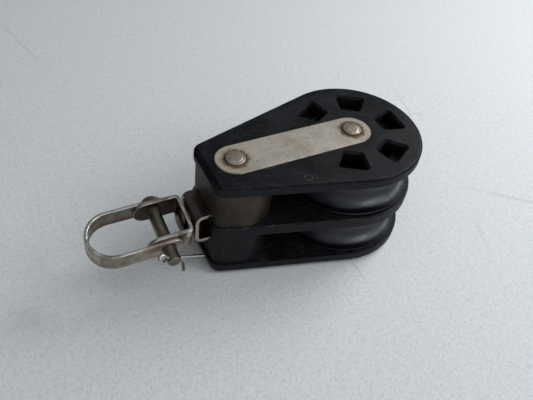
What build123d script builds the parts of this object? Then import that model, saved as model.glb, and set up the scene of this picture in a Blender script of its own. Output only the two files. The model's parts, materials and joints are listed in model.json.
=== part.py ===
from build123d import *
import math
import os

# Double sheave block: two grooved sheaves one above the other on one axle, between three cheeks,
# with a swivelling fork and a strip shackle at the narrow end.
# Millimetres, +Z up along the axle. The block lies on the rivet heads of its lower side, so z = 0
# is their flat end and the origin is where the axle's axis meets it. The shackle points to -X.

# Shell
PIN_SPACING = 50.0          # axle rivet to head rivet
END_RADIUS = 28.3           # round end of every cheek, about the axle
HEAD_FRONT = 62.3           # axle axis to the flat front of the head
HEAD_CORNER_RADIUS = 5.0
HEAD_CORNER_Y = 8.4         # centres of the head's two corner rounds
CHEEK_THICKNESS = 4.1
MIDDLE_THICKNESS = 4.9
SHEAVE_GAP = 16.4           # clear height between neighbouring cheeks
CHEEK_EDGE_ROUND = 1.1
HEAD_BEVEL = 2.0            # chamfer along the head's outer front edge

# Windows in the two outer cheeks
WINDOW_INNER_RADIUS = 13.9
WINDOW_OUTER_RADIUS = 22.4
WINDOW_HALF_ANGLE = 14.6
WINDOW_STEP = 60
WINDOW_COUNT = 5            # the sixth place is under the side strap
WINDOW_CORNER = 0.8
WINDOW_RIM = 0.9            # bevel round each window's outer mouth

# Side straps and rivets
STRAP_HALF_WIDTH = 7.75
STRAP_THICKNESS = 1.5
STRAP_PROUD = 0.3
STRAP_CLEARANCE = 0.2
RIVET_RADIUS = 2.5
RIVET_HEAD_RADIUS = 3.7
RIVET_HEAD_HEIGHT = 1.1

# Sheaves and their bearings
SHEAVE_RADIUS = 27.0
SHEAVE_WIDTH = 15.4
GROOVE_ARC_RADIUS = 6.6     # arc of the rope groove, centred on the rim circle
RIM_ROUND = 0.5
SHEAVE_DISH_INNER = 9.0     # ring-shaped dish in each side of the sheave
SHEAVE_DISH_OUTER = 17.5
SHEAVE_DISH_DEPTH = 2.6
BUSH_RADIUS = 6.5
SLEEVE_RADIUS = 4.5
RUNNING_CLEARANCE = 0.06    # radial, in every bearing
END_CLEARANCE = 0.1         # axial, on each side of a turning piece

# Head spacers and bracket
SPACER_INSET = 0.8
SPACER_NOSE_RADIUS = 15.0
SHEET = 1.5                 # sheet of the bracket and the fork
BRACKET_FACE = 67.8         # axle axis to the bracket's outer face
BRACKET_HALF_WIDTH = 7.4
BRACKET_HALF_HEIGHT = 6.8
BRACKET_BEND = 3.0
BRACKET_DROP = 1.2          # bracket and swivel sit this far below the middle of the stack
SLOT_CLEARANCE = 0.1

# Swivel
SWIVEL_TURN = 9.0           # how far the fork stands turned about X
SWIVEL_STEM_RADIUS = 2.2
SWIVEL_HEAD_RADIUS = 5.0
SWIVEL_HEAD_HEIGHT = 2.2
SWIVEL_TAIL_RADIUS = 3.4
SWIVEL_TAIL_HEIGHT = 2.0
WASHER_RADIUS = 4.8
WASHER_THICKNESS = 0.8

# Fork and shackle
CLEVIS_X = 79.0             # axle axis to the clevis pin
FORK_INNER_HALF = 7.2
FORK_WIDTH = 10.0
FORK_BEND = 2.3
FORK_TIP = 7.6              # how far the ears reach past the clevis pin
SHACKLE_STRIP = 1.3
SHACKLE_WIDTH = 7.4
SHACKLE_STRAIGHT = 17.3     # clevis pin to the centre of the bow
SHACKLE_TIP = 6.2           # how far the shackle's ears reach past the clevis pin
SIDE_CLEARANCE = 0.1

# Clevis pin and split pin
CLEVIS_RADIUS = 2.5
CLEVIS_TURN = 24.0          # how far the clevis pin stands turned about its own axis
CLEVIS_HEAD_RADIUS = 3.9
CLEVIS_HEAD_HEIGHT = 2.2
CLEVIS_TAIL = 6.2           # pin length beyond the shackle's ear
SPLIT_WIRE_RADIUS = 0.45
SPLIT_OFFSET = 4.3          # shackle ear to the split pin
SPLIT_EYE_RADIUS = 1.15
SPLIT_STRAIGHT_LEG = 13.2   # from the clevis pin's axis
SPLIT_BENT_LEG = 4.8
SPLIT_ROLL = 50.0           # turn of the split pin about its straight leg; the bent leg hangs low

STACK = 2 * CHEEK_THICKNESS + 2 * SHEAVE_GAP + MIDDLE_THICKNESS
BASE = STRAP_PROUD + RIVET_HEAD_HEIGHT
LOWER_GAP_Z = BASE + CHEEK_THICKNESS
MIDDLE_Z = LOWER_GAP_Z + SHEAVE_GAP
UPPER_GAP_Z = MIDDLE_Z + MIDDLE_THICKNESS
UPPER_Z = UPPER_GAP_Z + SHEAVE_GAP
TOP_Z = BASE + STACK
MID_PLANE = BASE + STACK / 2
BRACKET_Z = MID_PLANE - BRACKET_DROP
FORK_FACE = BRACKET_FACE + WASHER_THICKNESS + END_CLEARANCE
FORK_OUTER_HALF = FORK_INNER_HALF + SHEET
SHACKLE_INNER_HALF = FORK_OUTER_HALF + SIDE_CLEARANCE
SHACKLE_OUTER_HALF = SHACKLE_INNER_HALF + SHACKLE_STRIP
BOW_X = CLEVIS_X + SHACKLE_STRAIGHT


def hull_face(circles):
    """Face bounded by the tight loop round circles given as (x, y, radius)."""
    edges = [(Pos(x, y) * Circle(radius)).edge() for x, y, radius in circles]
    return make_hull(edges)


def lift(face, low, high):
    """Extrude a face that lies in the XY plane from height low to height high."""
    return Pos(0, 0, low) * extrude(face, high - low, dir=(0, 0, 1))


def rod(radius, low, high, x=0.0):
    """Upright cylinder about (x, 0) from height low to height high."""
    return lift(Pos(x, 0) * Circle(radius), low, high)


def along_x(solid, x):
    """Lay a solid built upright about Z along -X, with its foot at distance x from the axle."""
    return Pos(-x, 0, 0) * Rot(0, -90, 0) * solid


def in_swivel(solid):
    """Move a swivel piece, built level about the X axis, to its place and turn."""
    return Pos(0, 0, BRACKET_Z) * Rot(SWIVEL_TURN, 0, 0) * solid


def flip(solid):
    """Mirror a piece of the upper half into the lower half."""
    return mirror(solid, about=Plane.XY.offset(MID_PLANE))


def cheek_face(inset=0.0):
    """Outline shared by the cheeks: a round end and straight flanks to the narrow head."""
    corner_x = -HEAD_FRONT + HEAD_CORNER_RADIUS
    corner_radius = HEAD_CORNER_RADIUS - inset
    circles = [
        (0, 0, END_RADIUS - inset),
        (corner_x, HEAD_CORNER_Y, corner_radius),
        (corner_x, -HEAD_CORNER_Y, corner_radius),
    ]
    return hull_face(circles)


def strap_face(half_width):
    """Obround over both rivets."""
    return hull_face([(0, 0, half_width), (-PIN_SPACING, 0, half_width)])


def rivet_holes():
    """Both rivets' stems, to cut out of whatever they pass through."""
    stems = [rod(RIVET_RADIUS, BASE - 1, TOP_Z + 1, x) for x in (0, -PIN_SPACING)]
    return stems[0] + stems[1]


def window_cutter(angle):
    """One four-sided window, wider towards the rim, with a bevelled outer mouth."""
    low = math.radians(angle - WINDOW_HALF_ANGLE)
    high = math.radians(angle + WINDOW_HALF_ANGLE)
    corners = [
        (radius * math.cos(turn), radius * math.sin(turn))
        for radius, turn in (
            (WINDOW_INNER_RADIUS, low),
            (WINDOW_OUTER_RADIUS, low),
            (WINDOW_OUTER_RADIUS, high),
            (WINDOW_INNER_RADIUS, high),
        )
    ]
    face = make_face(Polyline(*corners, close=True))
    face = fillet(face.vertices(), WINDOW_CORNER)
    hole = lift(face, UPPER_Z - 1, TOP_Z + 1)
    mouth = Pos(0, 0, TOP_Z - WINDOW_RIM) * extrude(face, 2 * WINDOW_RIM, dir=(0, 0, 1), taper=-45)
    return hole + mouth


def make_upper_cheek():
    """Outer cheek with windows, a sunk bed for the strap and a bevelled head."""
    cheek = lift(cheek_face(), UPPER_Z, TOP_Z)
    cheek = fillet(cheek.edges().group_by(Axis.Z)[-1], CHEEK_EDGE_ROUND)
    bevel = Pos(-HEAD_FRONT, 0, TOP_Z) * Rot(0, 45, 0)
    bevel_side = HEAD_BEVEL * math.sqrt(2)
    cheek -= bevel * Box(bevel_side, 4 * HEAD_CORNER_Y, bevel_side)
    for place in range(WINDOW_COUNT):
        cheek -= window_cutter(WINDOW_STEP * (place - WINDOW_COUNT // 2))
    bed = TOP_Z + STRAP_PROUD - STRAP_THICKNESS
    cheek -= lift(strap_face(STRAP_HALF_WIDTH + STRAP_CLEARANCE), bed, TOP_Z + 1)
    return cheek - rivet_holes()


def make_middle_cheek():
    """Plain inner cheek between the two sheaves."""
    cheek = lift(cheek_face(), MIDDLE_Z, MIDDLE_Z + MIDDLE_THICKNESS)
    rims = cheek.edges().group_by(Axis.Z)
    cheek = fillet(rims[0] + rims[-1], CHEEK_EDGE_ROUND / 2)
    return cheek - rivet_holes()


def make_upper_strap():
    """Steel strap over both rivets, sunk in the cheek."""
    top = TOP_Z + STRAP_PROUD
    strap = lift(strap_face(STRAP_HALF_WIDTH), top - STRAP_THICKNESS, top)
    strap = fillet(strap.edges().group_by(Axis.Z)[-1], STRAP_PROUD)
    return strap - rivet_holes()


def make_rivet(x):
    """Through rivet with a low flat-topped head on each side strap."""
    stem = rod(RIVET_RADIUS, BASE - STRAP_PROUD, TOP_Z + STRAP_PROUD, x)
    head = rod(RIVET_HEAD_RADIUS, TOP_Z + STRAP_PROUD, TOP_Z + BASE, x)
    head = fillet(head.edges().group_by(Axis.Z)[-1], RIVET_HEAD_HEIGHT / 2)
    return stem + head + flip(head)


def flange_face(clearance=0.0):
    """Plan of the head bracket: straight from its face to a round end about the head rivet."""
    half = BRACKET_HALF_WIDTH + clearance
    straight = Pos(-(BRACKET_FACE + PIN_SPACING) / 2, 0) * Rectangle(BRACKET_FACE - PIN_SPACING, 2 * half)
    return straight + Pos(-PIN_SPACING, 0) * Circle(half)


def make_head_spacer(low, flange_low):
    """Block between two cheeks at the head, slotted for one flange of the bracket."""
    high = low + SHEAVE_GAP
    nose = Pos(-PIN_SPACING, 0) * Circle(SPACER_NOSE_RADIUS)
    behind = Pos(-PIN_SPACING - SPACER_NOSE_RADIUS, 0) * Rectangle(2 * SPACER_NOSE_RADIUS, 2 * END_RADIUS)
    spacer = lift(cheek_face(SPACER_INSET) & (nose + behind), low, high)
    slot_high = flange_low + SHEET + SLOT_CLEARANCE
    spacer -= lift(flange_face(SLOT_CLEARANCE), flange_low - SLOT_CLEARANCE, slot_high)
    return spacer - rod(RIVET_RADIUS, low - 1, high + 1, -PIN_SPACING)


def make_sleeve(low):
    """Fixed bearing sleeve that clamps between two cheeks, round the axle rivet."""
    return rod(SLEEVE_RADIUS, low, low + SHEAVE_GAP) - rod(RIVET_RADIUS, low - 1, low + SHEAVE_GAP + 1)


def make_bush(low):
    """Bearing bush pressed into the sheave, running on the sleeve."""
    bottom = low + END_CLEARANCE
    top = low + SHEAVE_GAP - END_CLEARANCE
    return rod(BUSH_RADIUS, bottom, top) - rod(SLEEVE_RADIUS + RUNNING_CLEARANCE, bottom - 1, top + 1)


def make_sheave(low):
    """Sheave with a deep round rope groove and a dish in each side."""
    middle = low + SHEAVE_GAP / 2
    half = SHEAVE_WIDTH / 2
    sheave = rod(SHEAVE_RADIUS, middle - half, middle + half)
    rims = sheave.edges().group_by(Axis.Z)
    sheave = fillet(rims[0] + rims[-1], RIM_ROUND)
    sheave -= Pos(0, 0, middle) * Torus(SHEAVE_RADIUS, GROOVE_ARC_RADIUS)
    dish = Circle(SHEAVE_DISH_OUTER) - Circle(SHEAVE_DISH_INNER)
    sheave -= lift(dish, middle + half - SHEAVE_DISH_DEPTH, middle + half + 1)
    sheave -= lift(dish, middle - half - 1, middle - half + SHEAVE_DISH_DEPTH)
    return sheave - rod(BUSH_RADIUS, low, low + SHEAVE_GAP)


def bent_channel(face, depth, half, thickness, bend):
    """Closed channel section in the XY plane: a web at -face and two legs running to -face + depth."""
    middle = -face + depth / 2
    outside = fillet((Pos(middle, 0) * Rectangle(depth, 2 * half)).vertices().group_by(Axis.X)[0], bend)
    inner_half = half - thickness
    inside = Pos(middle + thickness, 0) * Rectangle(depth, 2 * inner_half)
    inside = fillet(inside.vertices().group_by(Axis.X)[0], bend - thickness)
    return outside - inside


def make_head_bracket():
    """Channel round the head rivet: its flanges lie in the spacers, its web carries the swivel."""
    reach = BRACKET_FACE - PIN_SPACING + BRACKET_HALF_WIDTH
    section = bent_channel(BRACKET_FACE, reach, BRACKET_HALF_HEIGHT, SHEET, BRACKET_BEND)
    length = 2 * BRACKET_HALF_WIDTH
    channel = Rot(90, 0, 0) * Pos(0, 0, -BRACKET_HALF_WIDTH) * extrude(section, length, dir=(0, 0, 1))
    channel &= lift(flange_face(), -BRACKET_HALF_HEIGHT, BRACKET_HALF_HEIGHT)
    channel -= rod(RIVET_RADIUS, -BRACKET_HALF_HEIGHT - 1, BRACKET_HALF_HEIGHT + 1, -PIN_SPACING)
    stem = rod(SWIVEL_STEM_RADIUS + RUNNING_CLEARANCE, -SHEET - 1, 1)
    channel -= along_x(stem, BRACKET_FACE)
    return Pos(0, 0, BRACKET_Z) * channel


def make_swivel_washer():
    """Washer between the bracket and the fork."""
    washer = rod(WASHER_RADIUS, 0, WASHER_THICKNESS)
    washer -= rod(SWIVEL_STEM_RADIUS, -1, WASHER_THICKNESS + 1)
    return in_swivel(along_x(washer, FORK_FACE - WASHER_THICKNESS))


def make_swivel_rivet():
    """Swivel rivet: domed head inside the fork, stem through the web, flat tail inside the bracket."""
    tail_top = -SHEET - END_CLEARANCE / 2
    head_foot = FORK_FACE + SHEET - BRACKET_FACE
    rivet = rod(SWIVEL_STEM_RADIUS, tail_top, head_foot)
    rivet += rod(SWIVEL_TAIL_RADIUS, tail_top - SWIVEL_TAIL_HEIGHT, tail_top)
    head = rod(SWIVEL_HEAD_RADIUS, head_foot, head_foot + SWIVEL_HEAD_HEIGHT)
    head = fillet(head.edges().group_by(Axis.Z)[-1], SWIVEL_HEAD_HEIGHT * 0.8)
    return in_swivel(along_x(rivet + head, BRACKET_FACE))


def make_swivel_fork():
    """Sheet fork: a base against the washer and two round-ended ears for the clevis pin."""
    reach = CLEVIS_X + FORK_TIP - FORK_FACE
    section = bent_channel(FORK_FACE + reach, reach, FORK_OUTER_HALF, SHEET, FORK_BEND)
    section = Pos(-2 * FORK_FACE - reach, 0) * Rot(0, 0, 180) * section
    half = FORK_WIDTH / 2
    fork = lift(section, -half, half)
    end_x = CLEVIS_X + FORK_TIP - half
    ear = Pos(-(FORK_FACE + end_x) / 2, 0) * Rectangle(end_x - FORK_FACE, FORK_WIDTH)
    ear += Pos(-end_x, 0) * Circle(half)
    fork &= Rot(90, 0, 0) * lift(ear, -FORK_OUTER_HALF, FORK_OUTER_HALF)
    fork -= clevis_hole(FORK_OUTER_HALF)
    fork -= along_x(rod(SWIVEL_STEM_RADIUS, -1, SHEET + 1), FORK_FACE)
    return in_swivel(fork)


def in_clevis(solid):
    """Place a solid drawn round the clevis pin's axis, along Y, with the turn the pin stands at."""
    return in_swivel(Pos(-CLEVIS_X, 0, 0) * Rot(0, CLEVIS_TURN, 0) * solid)


def clevis_hole(half_length):
    """Level cylinder for the clevis pin to run in, to cut out of the fork and the shackle."""
    hole = rod(CLEVIS_RADIUS + RUNNING_CLEARANCE, -half_length - 1, half_length + 1)
    return Pos(-CLEVIS_X, 0, 0) * Rot(90, 0, 0) * hole


def make_shackle():
    """U-shaped strip whose round-ended ears stand outside the fork."""
    half = SHACKLE_WIDTH / 2
    tip_x = CLEVIS_X - SHACKLE_TIP
    straight = BOW_X - tip_x
    middle = -(tip_x + BOW_X) / 2
    outside = Pos(middle, 0) * Rectangle(straight, 2 * SHACKLE_OUTER_HALF)
    outside += Pos(-BOW_X, 0) * Circle(SHACKLE_OUTER_HALF)
    inside = Pos(middle + 1, 0) * Rectangle(straight + 2, 2 * SHACKLE_INNER_HALF)
    inside += Pos(-BOW_X, 0) * Circle(SHACKLE_INNER_HALF)
    shackle = lift(outside - inside, -half, half)
    bow_end = BOW_X + SHACKLE_OUTER_HALF
    side = Pos(-(tip_x + half + bow_end) / 2, 0) * Rectangle(bow_end - tip_x - half, SHACKLE_WIDTH)
    side += Pos(-tip_x - half, 0) * Circle(half)
    shackle &= Rot(90, 0, 0) * lift(side, -SHACKLE_OUTER_HALF, SHACKLE_OUTER_HALF)
    return in_swivel(shackle - clevis_hole(SHACKLE_OUTER_HALF))


def make_clevis_pin():
    """Headed pin through the fork and shackle ears, drilled for the split pin."""
    head_foot = SHACKLE_OUTER_HALF + SIDE_CLEARANCE
    tail = -SHACKLE_OUTER_HALF - CLEVIS_TAIL
    pin = rod(CLEVIS_RADIUS, tail, head_foot)
    pin = chamfer(pin.edges().group_by(Axis.Z)[0], 0.5)
    head = rod(CLEVIS_HEAD_RADIUS, head_foot, head_foot + CLEVIS_HEAD_HEIGHT)
    pin += fillet(head.edges().group_by(Axis.Z)[-1], CLEVIS_HEAD_HEIGHT * 0.6)
    split_z = -SHACKLE_OUTER_HALF - SPLIT_OFFSET
    hole = Cylinder(2.3 * SPLIT_WIRE_RADIUS, 4 * CLEVIS_RADIUS)
    pin -= Pos(0, 0, split_z) * Rot(0, 90, 0) * hole
    return in_clevis(Rot(-90, 0, 0) * pin)


def make_split_pin():
    """Split pin: an eye, one straight leg and one leg bent away from the shackle."""
    spread = 1.05 * SPLIT_WIRE_RADIUS
    start = -CLEVIS_RADIUS - 0.6
    section = Plane.YZ * Circle(SPLIT_WIRE_RADIUS)
    straight = Pos(start, spread, 0) * extrude(section, SPLIT_STRAIGHT_LEG - start, dir=(1, 0, 0))
    bend_x = CLEVIS_RADIUS + 1.2
    lean = 0.35 * SPLIT_BENT_LEG
    path = FilletPolyline(
        (start, -spread), (bend_x, -spread), (bend_x + lean, -spread - SPLIT_BENT_LEG), radius=1.0
    )
    bent = sweep(Pos(start, -spread, 0) * section, path=path)
    eye = Pos(start - SPLIT_EYE_RADIUS + 0.1, 0, 0) * Torus(SPLIT_EYE_RADIUS, SPLIT_WIRE_RADIUS)
    split = Rot(SPLIT_ROLL, 0, 0) * (straight + bent + eye)
    return in_clevis(Pos(0, -SHACKLE_OUTER_HALF - SPLIT_OFFSET, 0) * split)


upper_cheek = make_upper_cheek()
upper_strap = make_upper_strap()

parts = {
    "upper_cheek": upper_cheek,
    "middle_cheek": make_middle_cheek(),
    "lower_cheek": flip(upper_cheek),
    "upper_side_strap": upper_strap,
    "lower_side_strap": flip(upper_strap),
    "head_rivet": make_rivet(-PIN_SPACING),
    "axle_rivet": make_rivet(0),
    "upper_head_spacer": make_head_spacer(UPPER_GAP_Z, BRACKET_Z + BRACKET_HALF_HEIGHT - SHEET),
    "lower_head_spacer": make_head_spacer(LOWER_GAP_Z, BRACKET_Z - BRACKET_HALF_HEIGHT),
    "upper_axle_sleeve": make_sleeve(UPPER_GAP_Z),
    "lower_axle_sleeve": make_sleeve(LOWER_GAP_Z),
    "upper_sheave": make_sheave(UPPER_GAP_Z),
    "lower_sheave": make_sheave(LOWER_GAP_Z),
    "upper_sheave_bush": make_bush(UPPER_GAP_Z),
    "lower_sheave_bush": make_bush(LOWER_GAP_Z),
    "head_bracket": make_head_bracket(),
    "swivel_rivet": make_swivel_rivet(),
    "swivel_washer": make_swivel_washer(),
    "swivel_fork": make_swivel_fork(),
    "shackle": make_shackle(),
    "clevis_pin": make_clevis_pin(),
    "split_pin": make_split_pin(),
}

os.makedirs("parts", exist_ok=True)
for name, solid in parts.items():
    export_step(solid, f"parts/{name}.step")
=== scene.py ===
"""A double sheave block lying on a pale table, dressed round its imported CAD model.

The cheeks are black moulded plastic, the side straps, rivets, bracket, fork and shackle are weathered
stainless steel. All lengths are in metres and +Z points up along the sheaves' axle.
"""

from __future__ import annotations

import json
import logging
import math
from dataclasses import dataclass, field
from enum import Enum

import bmesh
import bpy
from mathutils import Matrix, Vector, noise

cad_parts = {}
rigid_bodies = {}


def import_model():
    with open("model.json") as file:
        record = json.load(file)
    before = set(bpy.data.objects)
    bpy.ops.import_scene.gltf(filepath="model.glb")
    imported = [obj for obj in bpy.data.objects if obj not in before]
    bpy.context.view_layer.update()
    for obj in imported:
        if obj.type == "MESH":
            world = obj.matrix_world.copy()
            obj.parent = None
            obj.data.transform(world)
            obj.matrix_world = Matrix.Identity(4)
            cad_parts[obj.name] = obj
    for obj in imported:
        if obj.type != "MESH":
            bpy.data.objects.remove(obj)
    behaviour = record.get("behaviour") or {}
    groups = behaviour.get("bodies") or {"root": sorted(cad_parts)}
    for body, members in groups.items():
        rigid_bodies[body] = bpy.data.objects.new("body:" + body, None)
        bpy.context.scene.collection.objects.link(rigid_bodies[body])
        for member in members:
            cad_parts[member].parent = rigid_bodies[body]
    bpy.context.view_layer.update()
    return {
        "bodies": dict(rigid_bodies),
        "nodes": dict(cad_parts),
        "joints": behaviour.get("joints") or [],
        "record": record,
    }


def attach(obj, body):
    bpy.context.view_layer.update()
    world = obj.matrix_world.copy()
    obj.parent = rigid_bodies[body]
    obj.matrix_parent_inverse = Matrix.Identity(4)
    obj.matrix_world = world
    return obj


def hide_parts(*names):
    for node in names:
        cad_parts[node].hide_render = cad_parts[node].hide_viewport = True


LOG = logging.getLogger("sheave_block")
MM = 0.001
MERGE = 0.002 * MM

Colour = tuple[float, float, float]
Point = tuple[float, float]
Feed = bpy.types.NodeSocket | float | tuple


# ---------------------------------------------------------------- node trees


class Nodes:
    """Adds nodes to a tree and joins them."""

    def __init__(self, tree: bpy.types.NodeTree) -> None:
        """Work on a tree.

        Args:
            tree: The tree.
        """
        self.tree = tree

    def feed(self, socket: bpy.types.NodeSocket, value: Feed) -> None:
        """Join a socket to an input, or set the input to a constant.

        Args:
            socket: The input.
            value: An output socket, a number, or a colour or vector.
        """
        if isinstance(value, bpy.types.NodeSocket):
            self.tree.links.new(value, socket)
        elif isinstance(value, tuple) and socket.type == "RGBA":
            socket.default_value = (*value[:3], 1.0)
        else:
            socket.default_value = value

    def add(self, kind: str, **inputs: Feed) -> bpy.types.Node:
        """Add a node and feed its inputs, named with _ for a space."""
        node = self.tree.nodes.new(kind)
        for name, value in inputs.items():
            self.feed(node.inputs[name.replace("_", " ")], value)
        return node

    def maths(self, operation: str, *values: Feed, kind: str = "ShaderNodeMath") -> bpy.types.Node:
        """Add an arithmetic node and feed its inputs in order."""
        node = self.tree.nodes.new(kind)
        node.operation = operation
        for socket, value in zip(node.inputs, values):
            self.feed(socket, value)
        return node

    def calc(self, operation: str, *values: Feed) -> Feed:
        """One arithmetic step on numbers.

        Args:
            operation: Its name, such as MULTIPLY.
            values: Sockets or constants.

        Returns:
            The value socket.
        """
        return self.maths(operation, *values).outputs[0]

    def dot(self, first: Feed, second: Feed) -> Feed:
        """Dot product of two vectors."""
        return self.maths("DOT_PRODUCT", first, second, kind="ShaderNodeVectorMath").outputs["Value"]

    def band(self, value: Feed, low: float, high: float, start: float = 0.0, end: float = 1.0) -> Feed:
        """Smooth step that runs from start to end while value goes from low to high."""
        node = self.add("ShaderNodeMapRange", Value=value, From_Min=low, From_Max=high, To_Min=start,
                        To_Max=end)
        node.interpolation_type = "SMOOTHSTEP"
        return node.outputs["Result"]


class Graph(Nodes):
    """The nodes of one material, so that a finish reads as a list of layers."""

    def __init__(self, name: str) -> None:
        """Start an empty material.

        Args:
            name: The material's name.
        """
        self.material = bpy.data.materials.new(name)
        self.material.use_nodes = True
        super().__init__(self.material.node_tree)
        self.tree.nodes.clear()
        coordinates = self.add("ShaderNodeTexCoord")
        self.place = coordinates.outputs["Object"]
        self.normal = coordinates.outputs["Normal"]

    def mapped(self, scale: tuple = (1, 1, 1), turn: tuple = (0, 0, 0),
               shift: tuple = (0, 0, 0)) -> Feed:
        """Object coordinates, stretched, turned (degrees) and shifted."""
        node = self.add("ShaderNodeMapping", Vector=self.place, Scale=scale, Location=shift,
                        Rotation=tuple(math.radians(angle) for angle in turn))
        return node.outputs["Vector"]

    def noise(self, vector: Feed, scale: float, detail: float = 4.0, rough: float = 0.55,
              twist: float = 0.0) -> Feed:
        """Fractal noise from 0 to 1.

        Args:
            vector: Where to read it.
            scale: Features per metre.
            detail: Octaves.
            rough: How strong the finer octaves are.
            twist: Distortion.

        Returns:
            The value socket.
        """
        return self.add("ShaderNodeTexNoise", Vector=vector, Scale=scale, Detail=detail,
                        Roughness=rough, Distortion=twist).outputs["Fac"]

    def cells(self, vector: Feed, scale: float, feature: str = "F1") -> Feed:
        """Distance to the nearest of randomly scattered points."""
        node = self.tree.nodes.new("ShaderNodeTexVoronoi")
        node.feature = feature
        self.feed(node.inputs["Vector"], vector)
        self.feed(node.inputs["Scale"], scale)
        return node.outputs["Distance"]

    def product(self, first: Feed, second: Feed, third: Feed = 1.0) -> Feed:
        """Up to three values multiplied."""
        both = self.calc("MULTIPLY", first, second)
        return both if third == 1.0 else self.calc("MULTIPLY", both, third)

    def blend(self, amount: Feed, under: Feed, over: Feed) -> Feed:
        """One colour laid over another."""
        node = self.tree.nodes.new("ShaderNodeMix")
        node.data_type = "RGBA"
        self.feed(node.inputs["Factor"], amount)
        colours = [socket for socket in node.inputs if socket.type == "RGBA"]
        self.feed(colours[0], under)
        self.feed(colours[1], over)
        return [socket for socket in node.outputs if socket.type == "RGBA"][0]

    def split(self, vector: Feed) -> tuple[Feed, Feed, Feed]:
        """The three parts of a vector."""
        return tuple(self.add("ShaderNodeSeparateXYZ", Vector=vector).outputs)

    def distance(self, centre: tuple, squash: tuple = (1, 1, 1)) -> Feed:
        """Distance from a place on the object.

        Args:
            centre: The place.
            squash: Weights of the three axes.

        Returns:
            The value socket.
        """
        shifted = self.mapped(scale=squash, shift=tuple(-c * s for c, s in zip(centre, squash)))
        return self.maths("LENGTH", shifted, kind="ShaderNodeVectorMath").outputs["Value"]

    def inward(self, centre: tuple) -> Feed:
        """How far the surface faces a place, from 0 on faces turned away to 1."""
        offset = self.mapped(shift=tuple(-c for c in centre))
        return self.band(self.dot(self.normal, offset), -2 * MM, -5.5 * MM)

    def bump(self, height: Feed, distance: float, strength: float = 1.0,
             under: Feed | None = None) -> Feed:
        """A relief.

        Args:
            height: Height from 0 to 1.
            distance: What a height of 1 stands for.
            strength: How much of it shows.
            under: A relief that this one lies on.

        Returns:
            The normal socket.
        """
        node = self.add("ShaderNodeBump", Distance=distance, Strength=strength, Height=height)
        if under is not None:
            self.feed(node.inputs["Normal"], under)
        return node.outputs["Normal"]

    def finish(self, **inputs: Feed) -> bpy.types.Material:
        """Close the graph with one Principled shader.

        Args:
            inputs: Values or sockets by the shader's input names, with _ for a space.

        Returns:
            The material.
        """
        shader = self.add("ShaderNodeBsdfPrincipled", **inputs)
        self.add("ShaderNodeOutputMaterial", Surface=shader.outputs[0])
        return self.material


class ShapeTree(Nodes):
    """One Geometry Nodes tree with named inputs, run on a carrier object."""

    def __init__(self, name: str) -> None:
        """Start the tree with its geometry input and output.

        Args:
            name: The tree's name.
        """
        super().__init__(bpy.data.node_groups.new(name, "GeometryNodeTree"))
        for way in ("INPUT", "OUTPUT"):
            self.tree.interface.new_socket("Geometry", in_out=way, socket_type="NodeSocketGeometry")
        self.start = self.tree.nodes.new("NodeGroupInput")
        self.geometry = self.start.outputs[0]
        self.values: dict[str, float] = {}

    def number(self, name: str, value: float) -> bpy.types.NodeSocket:
        """Add a named input and remember its value for the modifier."""
        socket = self.tree.interface.new_socket(name, in_out="INPUT", socket_type="NodeSocketFloat")
        self.values[socket.identifier] = value
        return self.start.outputs[name]

    def copies(self, points: Feed, instance: Feed) -> Feed:
        """One instance on each point."""
        spread = self.add("GeometryNodeInstanceOnPoints", Points=points, Instance=instance)
        return spread.outputs["Instances"]

    def realised(self, instances: Feed) -> Feed:
        """Instances turned into real geometry."""
        return self.add("GeometryNodeRealizeInstances", Geometry=instances).outputs[0]

    def close(self, result: Feed, material: bpy.types.Material) -> None:
        """End the tree in Realize Instances and Set Material."""
        paint = self.add("GeometryNodeSetMaterial", Geometry=self.realised(result), Material=material)
        self.add("NodeGroupOutput", Geometry=paint.outputs[0])

    def run(self, carrier: bpy.types.Object) -> bpy.types.Object:
        """Run the tree on a carrier and return the result as a plain mesh object."""
        modifier = carrier.modifiers.new(self.tree.name, "NODES")
        modifier.node_group = self.tree
        for identifier, value in self.values.items():
            modifier[identifier] = value
        return to_mesh(carrier, carrier.name)


# ---------------------------------------------------------------- finishes


class Grain(Enum):
    """Which way a piece's brushing runs."""

    ALONG = (1.0, 40.0, 40.0)
    ACROSS = (40.0, 1.0, 40.0)
    UPRIGHT = (40.0, 40.0, 1.0)


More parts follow.
